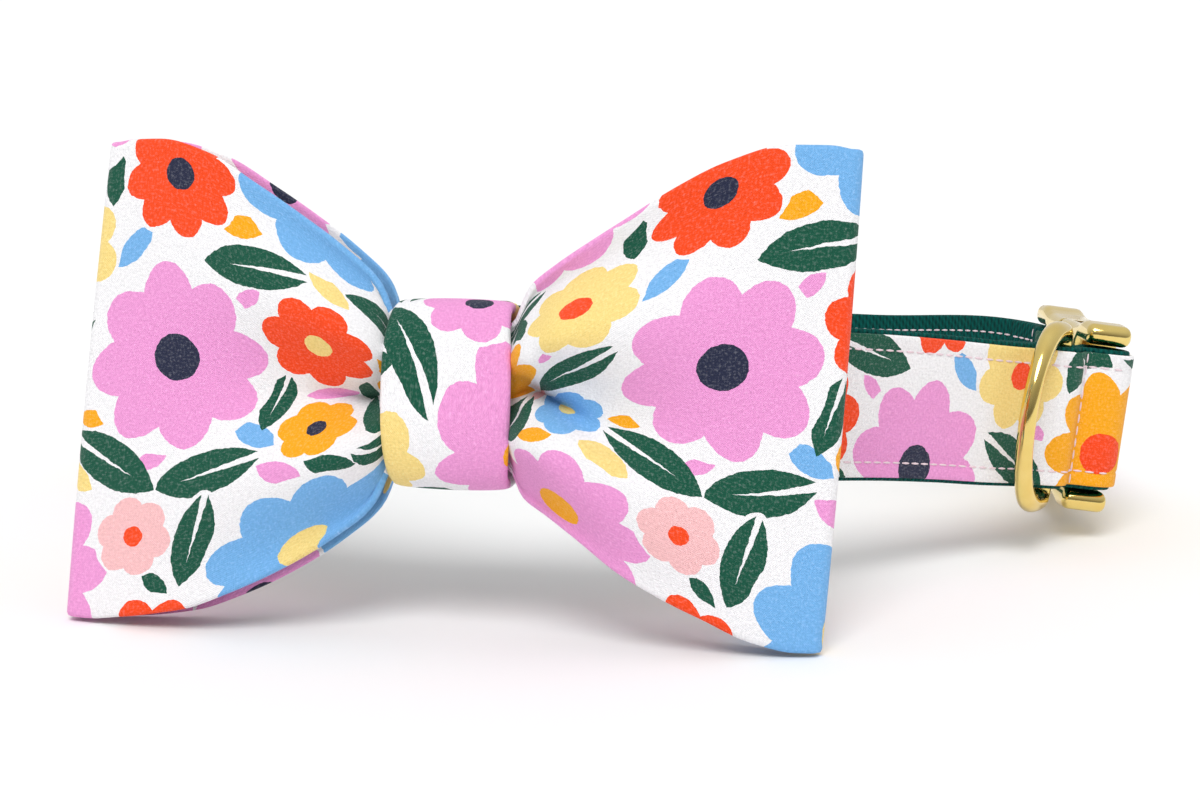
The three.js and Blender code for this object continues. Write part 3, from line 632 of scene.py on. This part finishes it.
def plate(points, thickness, rounding, segments):
    """A flat casting cut to an outline, centred on its thickness, with its edges rounded over."""
    bm = bmesh.new()
    verts = [bm.verts.new((x, y, -thickness / 2)) for x, y in points]
    foot = bm.faces.new(verts)
    risen = bmesh.ops.extrude_face_region(bm, geom=[foot])["geom"]
    lifted = [part for part in risen if isinstance(part, bmesh.types.BMVert)]
    bmesh.ops.translate(bm, vec=(0, 0, thickness), verts=lifted)
    bmesh.ops.recalc_face_normals(bm, faces=bm.faces)
    rims = [edge for edge in bm.edges if abs(edge.verts[0].co.z - edge.verts[1].co.z) < 1e-6]
    bmesh.ops.bevel(
        bm, geom=rims, offset=rounding, segments=segments, profile=0.5, affect="EDGES", material=-1,
        clamp_overlap=True,
    )
    return bm


def half_outline(mouth):
    """Outline of one half from its own bar: two lobes beside the strap's slot, then the body to its mouth."""
    along = even_steps(OUTLINE[0][0], OUTLINE[-1][0], OUTLINE_STEP)
    side = [(at, from_table(OUTLINE, 1, at)) for at in along] + [(mouth, OUTLINE[-1][1])]
    tip, radius = OUTLINE[0][0], (OUTLINE[0][1] - SLOT_HALF) / 2
    slot = [(SLOT_DEEP, SLOT_HALF - 0.8), (SLOT_DEEP - 0.8, SLOT_HALF), (tip, SLOT_HALF)]
    for angle in even_steps(0, math.pi, math.pi / 8)[1:-1]:
        slot.append((tip - radius * math.sin(angle), SLOT_HALF + radius * (1 - math.cos(angle))))
    inner = [(x, -y) for x, y in reversed(slot)] + slot
    return [(x, -y) for x, y in side[::-1]] + inner + side


def add_bar(bm, along):
    """The round bar between the lobes."""
    turn = Matrix.Translation((along, 0, 0)) @ Matrix.Rotation(math.pi / 2, 4, "X")
    bmesh.ops.create_cone(bm, cap_ends=True, segments=BAR_SIDES, radius1=BAR_RADIUS, radius2=BAR_RADIUS,
                          depth=2 * (SLOT_HALF + BAR_SUNK), matrix=turn)


def add_plate(bm, other):
    """Another casting joined into the same piece."""
    mesh = bpy.data.meshes.new("casting")
    other.to_mesh(mesh)
    other.free()
    bm.from_mesh(mesh)
    bpy.data.meshes.remove(mesh)


socket_bar, _, buckle_wide, _ = strap_at(0)
plug_bar = strap_at(STRAP_LENGTH)[0]
BAR_TO_BAR = (plug_bar - socket_bar).length
buckle_out = (plug_bar - socket_bar).cross(buckle_wide).normalized()
buckle_axes = Matrix((buckle_wide.cross(buckle_out), buckle_wide, buckle_out)).transposed().to_4x4()
buckle_place = Matrix.Translation(socket_bar) @ buckle_axes
gold = gold_finish()


def cut_out(piece, start, end, low, high, thick):
    """Cuts a block out of a casting, given by its places along and across the buckle and its thickness."""
    block = bmesh.new()
    shape = Matrix.Diagonal((end - start, high - low, thick, 1))
    seat = Matrix.Translation(((start + end) / 2, (low + high) / 2, 0))
    bmesh.ops.create_cube(block, size=1, matrix=buckle_place @ seat @ shape)
    bmesh.ops.scale(block, vec=(MM, MM, MM), verts=block.verts)
    mesh = bpy.data.meshes.new("cutter")
    block.to_mesh(mesh)
    block.free()
    cutter = bpy.data.objects.new("cutter", mesh)
    bpy.context.scene.collection.objects.link(cutter)
    cut = piece.modifiers.new("cut", "BOOLEAN")
    cut.object, cut.operation, cut.solver = cutter, "DIFFERENCE", "EXACT"
    with bpy.context.temp_override(object=piece, active_object=piece, selected_objects=[piece]):
        bpy.ops.object.modifier_apply(modifier=cut.name)
    bpy.data.objects.remove(cutter)
    bpy.data.meshes.remove(mesh)


def joined_corners(piece):
    """Joins the doubled corners and slivers that the cuts leave."""
    bm = bmesh.new()
    bm.from_mesh(piece.data)
    bmesh.ops.remove_doubles(bm, verts=bm.verts, dist=CUT_JOIN * MM)
    bmesh.ops.dissolve_degenerate(bm, edges=bm.edges, dist=CUT_JOIN * MM)
    bm.to_mesh(piece.data)
    bm.free()


def softened(piece, width):
    """Eases a casting's sharp edges, and shades its flats flat."""
    ease = piece.modifiers.new("eased", "BEVEL")
    ease.width, ease.segments, ease.limit_method, ease.angle_limit = width * MM, 2, "ANGLE", math.radians(40)
    ease.harden_normals = True


socket_half = plate(half_outline(MOUTH), BUCKLE_THICK, BUCKLE_ROUND, BUCKLE_ROUND_STEPS)
add_bar(socket_half, 0)
bmesh.ops.transform(socket_half, matrix=buckle_place, verts=socket_half.verts)
socket = finished("buckle_socket_cast", socket_half, gold, "gold_metal", "collar", "buckle_socket")
room_start, room_end, room_half = LATCH_ROOM
cut_out(socket, room_start, room_end, -room_half, room_half, ROOM_THICK)
window_start, window_end, window_low, window_high = WINDOW
cut_out(socket, window_start, window_end, window_low, window_high, ROOM_THICK)
cut_out(socket, window_start, window_end, -window_high, -window_low, ROOM_THICK)
joined_corners(socket)
softened(socket, EDGE_EASE)

plug_outline = half_outline(BAR_TO_BAR - MOUTH - MOUTH_GAP)
plug_half = plate(plug_outline, BUCKLE_THICK, BUCKLE_ROUND, BUCKLE_ROUND_STEPS)
add_bar(plug_half, 0)
turn_round = Matrix.Translation((BAR_TO_BAR, 0, 0)) @ Matrix.Rotation(math.pi, 4, "Z")
bmesh.ops.transform(plug_half, matrix=turn_round, verts=plug_half.verts)
for side in (1, -1):
    arm_outline = [(x, side * y) for x, y in LATCH]
    add_plate(plug_half, plate(arm_outline, LATCH_THICK, LATCH_ROUND, LATCH_ROUND_STEPS))
guide_tip, guide_root, guide_half = GUIDE
guide_ends = ((guide_tip, -1), (guide_root, -1), (guide_root, 1), (guide_tip, 1))
guide_outline = [(along, side * guide_half) for along, side in guide_ends]
add_plate(plug_half, plate(guide_outline, LATCH_THICK, LATCH_ROUND, LATCH_ROUND_STEPS))
bmesh.ops.transform(plug_half, matrix=buckle_place, verts=plug_half.verts)
plug = finished("buckle_plug_cast", plug_half, gold, "gold_metal", "collar", "buckle_plug")
softened(plug, EDGE_EASE)

# Leash ring
# A cast ring of polished gold. Its straight bar lies in the pocket between the strap's two layers, and its
# bow is thinner than its corners. It lies over towards the bow tie. Thickness goes by distance from the bar.
RING_REACH = 17.0
RING_HALF = 15.0
RING_ARM = 6.0
RING_CORNER = 1.8
RING_THICKNESS = ((0, 1.7), (1.2, 1.9), (4.5, 2.05), (9, 1.85), (17, 1.5))
RING_SIDES = 20
RING_SWING = math.radians(-62)
POCKET = 11.0


def ring_line():
    """The wire's middle line from the bar's middle: distance out and height."""
    bar_end = RING_HALF - RING_CORNER
    line = [(0.0, h) for h in even_steps(0, bar_end, 2.2)[:-1]]
    for a in even_steps(0, math.pi / 2, math.pi / 12):
        line.append((RING_CORNER * (1 - math.cos(a)), bar_end + RING_CORNER * math.sin(a)))
    line += [(out, RING_HALF) for out in even_steps(RING_CORNER, RING_ARM, 1.4)[1:-1]]
    for a in even_steps(math.pi / 2, 0, math.pi / 48):
        line.append((RING_ARM + (RING_REACH - RING_ARM) * math.cos(a), RING_HALF * math.sin(a)))
    return line + [(out, -h) for out, h in line[-2:0:-1]]


def wire_ring(out):
    radius = from_table(RING_THICKNESS, 1, out)
    angles = [2 * math.pi * i / RING_SIDES for i in range(RING_SIDES)]
    return [(radius * math.cos(a), radius * math.sin(a)) for a in angles]


pocket, strap_along, pocket_wide, pocket_out = strap_at(POCKET)
swing = Matrix.Rotation(RING_SWING, 3, pocket_wide)
ring_out, ring_face = swing @ pocket_out, swing @ -strap_along
line = ring_line()
wire_stops = []
for i, (out, height) in enumerate(line):
    before, after = line[i - 1], line[(i + 1) % len(line)]
    heading = ring_out * (after[0] - before[0]) + pocket_wide * (after[1] - before[1])
    middle = pocket + ring_out * out + pocket_wide * height
    wire_stops.append((middle, heading.cross(ring_face).normalized(), ring_face, 0.0))
ring_wire = swept(wire_stops, [wire_ring(out) for out, _ in line], closed=True)
ring = finished("leash_ring_cast", ring_wire, gold, "gold_metal", "leash_ring", "d_ring")

# Bow tie
# One wide band of printed cotton, doubled and stiffened, folded flat into a loop. Its side edges are folds
# and its top and foot edges are open. It is gathered at the middle, into a deep valley between two hills on
# each wing.
BOW_WALL = 1.3
BOW_AHEAD = 12.1
LEAN_BACK = math.radians(7.8)
KNOT_HEIGHT = 37.4
SHEAR = {-1: 3.4, 1: 2.2}
SHEAR_REACH = 60.0
SHEAR_HEIGHT = 38.0
BACK_PLEAT_SHARE = 0.3
PANEL_CURL = 0.2
PANEL_STEP = 1.4
BAND_ROWS = 60
GATHERS = {"from": 10.2, "grow": 1.8, "run": 7.0, "count": 5.0, "shift": 0.6, "depth": 0.6}
WAVES = {"along": 6.1, "up": 8.7, "slant": 2.3, "depth": 0.35}
CREASE_EDGE = 0.28
CREASE_RUN = 6.5
POCKETS = {
    -1: {"reach": 12.0, "run": 8.0, "height": -0.6, "fall": 0.0, "half": 1.8, "depth": 3.6, "brow": 1.8},
    1: {"reach": 12.4, "run": 6.5, "height": 1.3, "fall": 0.55, "half": 1.6, "depth": 4.1, "brow": 3.2},
}
BROW_ABOVE = 2.2
SIDE_FOLD_STEPS = 8
SEAM_JOIN = 1e-4
FLAT_HALF = 38.0
BOW_PRINT_SHIFT = (30, 12, 0)

# Sections of a wing from the knot's middle to the side fold: reach, height of the top edge, drop of the foot
# edge, lift of the front panel's foot, swell of a panel, depth of the pleat, height of the pleat's valley.
WINGS = {
    -1: (
        (0, 10.9, 10.9, 0, 3.6, 1.9, 0), (9.8, 11, 11, 0, 3.7, 1.9, 0),
        (11.2, 16.2, 16.8, 0.2, 4.8, 3.2, 0), (17, 21.7, 22.8, 0.6, 6, 3.9, 0.2),
        (25, 27.2, 28.6, 0.9, 6.4, 2.9, 0.6), (33, 32, 33, 1.1, 6.2, 1.7, 1),
        (41, 36.3, 36.1, 1.1, 5.3, 0.8, 1.2), (50, 38.5, 37.2, 0.6, 3.7, 0.3, 1.2),
        (55.7, 38.4, 37.3, 0, 2.1, 0, 1.2), (57.6, 38, 37.2, 0, 1.7, 0, 1.2),
    ),
    1: (
        (0, 10.9, 10.9, 0, 3.6, 1.9, 0), (9.8, 11, 11, 0, 3.7, 1.9, 0),
        (11.2, 15.8, 14.8, 0.2, 4.8, 3.2, -0.3), (15.5, 19.8, 18, 0.5, 5.9, 4.1, -1),
        (21, 23.8, 22.2, 0.8, 6.5, 3.8, -2.2), (27, 28, 26.8, 1, 6.6, 2.7, -3.8),
        (33, 32.1, 30.2, 1.1, 6.2, 1.7, -5), (40, 36, 33.4, 1.1, 5.3, 0.8, -6),
        (48.5, 38.7, 36.5, 0.6, 3.8, 0.3, -6), (55.3, 38.8, 37.3, 0, 2.2, 0, -6),
        (57.3, 38.3, 37.3, 0, 1.7, 0, -6),
    ),
}

# The crease on the right wing: reach, height of its lip, how far the cloth below it stands out.
CREASE = (
    (9.3, 0.6, 3.6), (13.1, -0.9, 5), (18, -3.8, 4.8), (24.5, -8.1, 2.8), (31, -12, 1), (37, -15, 0),
)


def front_folds(side, reach, level, height):
    """Small folds of the front panel: gathers by the knot, soft waves, a pocket, a crease on the right."""
    start = min(max((reach - GATHERS["from"]) / GATHERS["grow"], 0.0), 1.0)
    inside = 1 - level**4
    fan = start * math.exp(-(reach - GATHERS["from"]) / GATHERS["run"]) if start else 0.0
    pleats = math.cos(GATHERS["count"] * math.pi * level + side * GATHERS["shift"])
    depth = GATHERS["depth"] * fan * inside * pleats
    slanted = reach / WAVES["along"] + side + WAVES["slant"] * level
    wave = math.sin(slanted) * math.cos(height / WAVES["up"] - side)
    depth += WAVES["depth"] * start * inside * wave
    pocket = POCKETS[side]
    out = reach - pocket["reach"]
    along, aside = out / pocket["run"], (height - pocket["height"] + pocket["fall"] * out) / pocket["half"]
    near = start * math.exp(-along * along)
    depth -= near * pocket["depth"] * math.exp(-aside * aside)
    depth += near * pocket["brow"] * math.exp(-((aside - BROW_ABOVE) ** 2) / 2)
    if side < 0 or not start:
        return depth
    below = from_table(CREASE, 1, reach) - height
    lip = 1 / (1 + math.exp(-below / CREASE_EDGE)) * math.exp(-max(below, 0) / CREASE_RUN)
    return depth + start * from_table(CREASE, 2, reach) * lip


def panel_point(side, reach, face, level):
    """A point of the bow's middle surface. Face is -1 on the front panel and 1 on the back panel."""
    top, foot, lift, swell, pleat, valley = (from_table(WINGS[side], k, reach) for k in range(1, 7))
    foot -= lift if face < 0 else 0
    height = -foot + (top + foot) * (level + 1) / 2
    share = 1 if face < 0 else BACK_PLEAT_SHARE
    wave = -math.cos(2 * math.pi * (level - valley / top)) * (1 - level**4)
    depth = swell * (1 - PANEL_CURL * level * level) + share * pleat * wave
    depth += front_folds(side, reach, level, height) if face < 0 else 0
    shear = SHEAR[side] * (height / SHEAR_HEIGHT) * (reach / SHEAR_REACH)
    return Vector((side * reach + shear, face * depth, height))


def band_columns():
    """Columns round the band from the middle of its back: side, reach, face, turn round a side fold."""
    reaches = {side: even_steps(0, WINGS[side][-1][0], PANEL_STEP) for side in (-1, 1)}
    turns = even_steps(-math.pi / 2, math.pi / 2, math.pi / SIDE_FOLD_STEPS)[1:-1]
    columns = [(-1, reach, 1, None) for reach in reaches[-1]]
    columns += [(-1, reaches[-1][-1], 1, turn) for turn in reversed(turns)]
    columns += [(-1, reach, -1, None) for reach in reversed(reaches[-1])]
    columns += [(1, reach, -1, None) for reach in reaches[1][1:]]
    columns += [(1, reaches[1][-1], 1, turn) for turn in turns]
    return columns + [(1, reach, 1, None) for reach in reversed(reaches[1])]


def band_point(column, level):
    side, reach, face, turn = column
    point = panel_point(side, reach, face, level)
    if turn is None:
        return point
    radius = point.y
    return point + Vector((side * radius * math.cos(turn), radius * (math.sin(turn) - 1), 0))


def bow_band():
    columns = band_columns()
    bm = bmesh.new()
    bmesh.ops.create_grid(bm, x_segments=len(columns) - 1, y_segments=BAND_ROWS, size=0.5)
    cloth = bm.loops.layers.uv.new("cloth")
    spots = {}
    runs = [0.0]
    for before, after in zip(columns, columns[1:]):
        runs.append(runs[-1] + (band_point(after, 0) - band_point(before, 0)).length)
    for vert in bm.verts:
        column = round((vert.co.x + 0.5) * (len(columns) - 1))
        level = 2 * round((vert.co.y + 0.5) * BAND_ROWS) / BAND_ROWS - 1
        spots[vert] = (runs[column] * MM, level * FLAT_HALF * MM)
        vert.co = band_point(columns[column], level)
    for face in bm.faces:
        for loop in face.loops:
            loop[cloth].uv = spots[loop.vert]
    bmesh.ops.remove_doubles(bm, verts=bm.verts, dist=SEAM_JOIN)
    bmesh.ops.recalc_face_normals(bm, faces=bm.faces)
    return bm


def thick_cloth(piece, wall):
    """Gives a sheet its thickness about its middle surface, and rounds it."""
    thick = piece.modifiers.new("wall", "SOLIDIFY")
    thick.thickness, thick.offset, thick.use_even_offset = wall * MM, 0, True
    smooth = piece.modifiers.new("smooth", "SUBSURF")
    smooth.levels = smooth.render_levels = 1


bow_place = Matrix.Translation(KNOT_SPOT + Vector((0, -BOW_AHEAD * math.cos(LEAN_BACK), KNOT_HEIGHT)))
bow_place = bow_place @ Matrix.Rotation(-LEAN_BACK, 4, "X")
band = bow_band()
bmesh.ops.transform(band, matrix=bow_place, verts=band.verts)
bow_cotton = cotton_finish("bow_cotton", BOW_PRINT_SHIFT)
bow = finished("bow_tie", band, bow_cotton, "printed_cotton", "collar", "bow_band")
thick_cloth(bow, BOW_WALL)

# Knot of the bow tie
# A short band of the same printed cotton, folded to four layers and sewn round the bow's middle, where it
# holds the gathers tight. Its faces bulge a little and its side edges are folds.
KNOT_WALL = 1.8
KNOT_HALF = 10.1
KNOT_PINCH = 0.1
KNOT_PRINT_SHIFT = (58, 46, 0)
KNOT_HALF_HEIGHT = 13.6
KNOT_HALF_DEPTH = 7.4
KNOT_SQUARENESS = 2.8
KNOT_SIDES = 72
KNOT_ROWS = 16
LOOP_ROUNDING = 0.9
KNOT_BARREL = (
    (-10.1, 0.97), (-8.7, 0.995), (-4.6, 1.012), (0, 1.018), (4.6, 1.012), (8.7, 0.995), (10.1, 0.97),
)


def rounded(value, squareness):
    return math.copysign(abs(value) ** (2 / squareness), value)


def looped_band(rows, half_depth, half_height, squareness, sides, pinch):
    """A band round the X axis with a rounded box section. Rows give places across it and its scale there.

    Pinch is the share of its width that the band loses where it turns over at the top and the foot.
    """
    bm = bmesh.new()
    bmesh.ops.create_grid(bm, x_segments=sides, y_segments=len(rows) - 1, size=0.5)
    cloth = bm.loops.layers.uv.new("cloth")
    around = 4 * (half_depth + half_height) * LOOP_ROUNDING
    spots = {}
    for vert in bm.verts:
        turn = round((vert.co.x + 0.5) * sides) / sides
        across, scale = rows[round((vert.co.y + 0.5) * (len(rows) - 1))]
        angle = 2 * math.pi * turn
        spots[vert] = (turn * around * MM, across * MM)
        depth = -half_depth * scale * rounded(math.sin(angle), squareness)
        height = half_height * scale * rounded(math.cos(angle), squareness)
        vert.co = (across * (1 - pinch * math.cos(angle) ** 2), depth, height)
    for face in bm.faces:
        for loop in face.loops:
            loop[cloth].uv = spots[loop.vert]
    bmesh.ops.remove_doubles(bm, verts=bm.verts, dist=SEAM_JOIN)
    bmesh.ops.recalc_face_normals(bm, faces=bm.faces)
    return bm


knot_places = even_steps(-KNOT_HALF, KNOT_HALF, 2 * KNOT_HALF / KNOT_ROWS)
knot_rows = [(across, from_table(KNOT_BARREL, 1, across)) for across in knot_places]
knot_loop = looped_band(
    knot_rows, KNOT_HALF_DEPTH, KNOT_HALF_HEIGHT, KNOT_SQUARENESS, KNOT_SIDES, KNOT_PINCH
)
bmesh.ops.transform(knot_loop, matrix=bow_place, verts=knot_loop.verts)
knot_cotton = cotton_finish("knot_cotton", KNOT_PRINT_SHIFT)
knot = finished("bow_knot_band", knot_loop, knot_cotton, "printed_cotton", "collar", "bow_knot")
thick_cloth(knot, KNOT_WALL)

# Elastic of the bow tie
# A loop of dark woven elastic sewn to the back of the knot. The strap passes through it, and it keeps the bow
# upright in front of the strap.
ELASTIC_WALL = 1.2
ELASTIC_HALF_HEIGHT = 13.9
ELASTIC_HALF_DEPTH = 2.45
ELASTIC_FORWARD = 0.35
ELASTIC_SQUARENESS = 10.0
ELASTIC_SIDES = 80
ELASTIC_HALF = 6.0
ELASTIC_STEP = 2.0
# The elastic's colour is painted lighter on the weave's ribs and darker in its hollows: painted light and
# painted shade.
ELASTIC_LIT_COLOUR, ELASTIC_PAINTED_SHADE = (46, 46, 50), (16, 16, 18)

elastic_rows = [(across, 1.0) for across in even_steps(-ELASTIC_HALF, ELASTIC_HALF, ELASTIC_STEP)]
elastic_loop = looped_band(
    elastic_rows, ELASTIC_HALF_DEPTH, ELASTIC_HALF_HEIGHT, ELASTIC_SQUARENESS, ELASTIC_SIDES, 0.0
)
elastic_place = bow_place @ Matrix.Translation((0, BOW_AHEAD - ELASTIC_FORWARD, 0))
bmesh.ops.transform(elastic_loop, matrix=elastic_place, verts=elastic_loop.verts)
woven = webbing_finish("dark_elastic", ELASTIC_LIT_COLOUR, ELASTIC_PAINTED_SHADE)
elastic = finished("bow_elastic_loop", elastic_loop, woven, "dark_elastic", "collar", "bow_elastic")
thick_cloth(elastic, ELASTIC_WALL)

# Floor, lights and camera
# A plain white floor in an even studio light, brightest overhead and behind, with one broad soft light from
# above the front. The camera stands low in front, a little to the right of the bow.
FLOOR_COLOUR = (250, 250, 250)
FLOOR_RADIUS = 30.0
FLOOR_SIDES = 96
CAMERA_PLACE = Vector((0.07144, -0.42527, 0.0998))
CAMERA_AIM = Vector((-0.16916, 0.96923, -0.17880))
CAMERA_LENS = 69.0
CAMERA_SENSOR = 36.0
CAMERA_NEAR, CAMERA_FAR = 0.01, 100.0
OVERHEAD, FRONT_HORIZON, BACK_HORIZON = 0.78, 0.1, 0.75
SUN_FROM = Vector((0.02, -0.6, 0.8))
SUN_POWER = 1.75
SUN_SOFTNESS = math.radians(30)

ground = bmesh.new()
bmesh.ops.create_circle(ground, cap_ends=True, segments=FLOOR_SIDES, radius=FLOOR_RADIUS)
floor_mesh = bpy.data.meshes.new("floor")
ground.to_mesh(floor_mesh)
ground.free()
floor = bpy.data.objects.new("floor", floor_mesh)
bpy.context.scene.collection.objects.link(floor)
floor_finish, _, _ = new_finish("pale_floor", Base_Color=dye(FLOOR_COLOUR), Roughness=0.9)
floor_mesh.materials.append(floor_finish)

scene = bpy.context.scene
scene.view_settings.view_transform = "Standard"
scene.view_settings.look = "None"
scene.world = scene.world or bpy.data.worlds.new("studio")
scene.world.use_nodes = True
sky = scene.world.node_tree
heading = add_node(sky, "ShaderNodeTexCoord").outputs["Generated"]
_, north, up = add_node(sky, "ShaderNodeSeparateXYZ", heading).outputs
behind = calc(sky, "MULTIPLY_ADD", north, 0.5, 0.5)
horizon = calc(sky, "MULTIPLY_ADD", behind, BACK_HORIZON - FRONT_HORIZON, FRONT_HORIZON)
climb = calc(sky, "MAXIMUM", up, 0.0)
rest_of_climb = calc(sky, "MULTIPLY", calc(sky, "SUBTRACT", OVERHEAD, horizon), climb)
sky.links.new(calc(sky, "ADD", horizon, rest_of_climb), sky.nodes["Background"].inputs["Strength"])
sky.nodes["Background"].inputs["Color"].default_value = (1.0, 1.0, 1.0, 1.0)

lamp = bpy.data.lights.new("key", "SUN")
lamp.energy, lamp.angle = SUN_POWER, SUN_SOFTNESS
light = bpy.data.objects.new("key", lamp)
scene.collection.objects.link(light)
light.rotation_euler = SUN_FROM.to_track_quat("Z", "Y").to_euler()

view = bpy.data.cameras.new("camera")
view.sensor_width, view.lens = CAMERA_SENSOR, CAMERA_LENS
view.clip_start, view.clip_end = CAMERA_NEAR, CAMERA_FAR
camera = bpy.data.objects.new("camera", view)
scene.collection.objects.link(camera)
camera.location = CAMERA_PLACE
camera.rotation_euler = CAMERA_AIM.to_track_quat("-Z", "Y").to_euler()
scene.camera = camera
